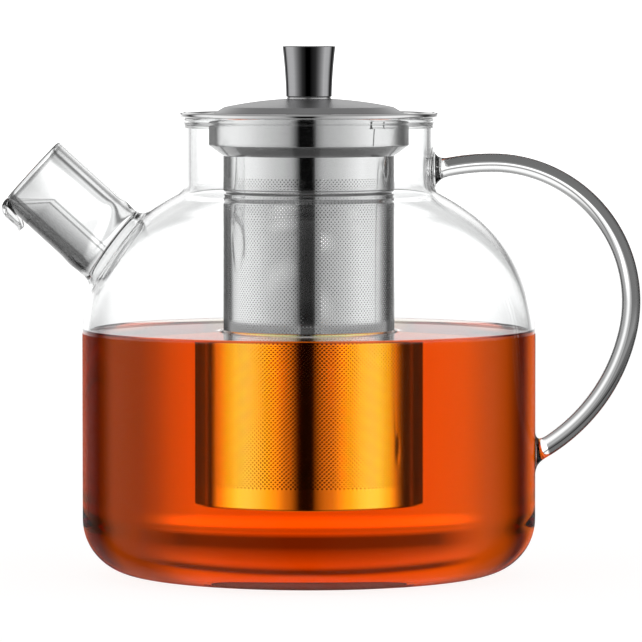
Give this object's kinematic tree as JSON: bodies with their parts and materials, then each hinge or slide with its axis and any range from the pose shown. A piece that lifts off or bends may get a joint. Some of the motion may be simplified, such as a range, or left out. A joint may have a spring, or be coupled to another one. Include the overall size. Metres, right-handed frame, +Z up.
{
  "type": "glass infuser teapot",
  "caption": "Clear glass teapot with a tube spout and rod handle, a lift-out perforated steel tea infuser hung in its mouth, and a domed steel lid with a tapered knob.",
  "frame": {"origin": "centre of the flat foot of the pot, on the surface it rests on", "axes": "+Z up along the pot's axis, +X towards the handle, -X towards the spout, +Y towards the back"},
  "size_m": [0.2174, 0.154, 0.1794],
  "materials": {
    "clear_glass": "clear fire-polished borosilicate glass, smooth, welds slightly wavy",
    "satin_steel": "fine satin stainless steel",
    "perforated_steel": "bright satin stainless steel sheet with fine staggered round holes",
    "brushed_lid_steel": "satin stainless steel with fine turned lines",
    "polished_steel": "polished stainless steel",
    "dark_polished_steel": "polished solid steel, mirror-like, dark reflections"
  },
  "bodies": {
    "pot": {"pot_body": "clear_glass", "spout": "clear_glass", "handle": "clear_glass"},
    "infuser": {"infuser_flange": "satin_steel", "infuser_collar": "satin_steel", "collar_clip": "satin_steel", "basket_wall": "perforated_steel", "basket_base_ring": "satin_steel", "basket_base_screen": "perforated_steel"},
    "lid": {"lid_dome": "brushed_lid_steel", "lid_skirt": "satin_steel", "knob_spacer": "polished_steel", "knob": "dark_polished_steel", "knob_washer": "satin_steel", "knob_screw": "satin_steel"}
  },
  "joints": [
    {"name": "infuser_lift", "type": "slide", "parent": "pot", "child": "infuser", "axis": [0, 0, 1], "range_m": [0, 0.145]},
    {"name": "lid_lift", "type": "slide", "parent": "infuser", "child": "lid", "axis": [0, 0, 1], "range_m": [0, 0.03]}
  ]
}
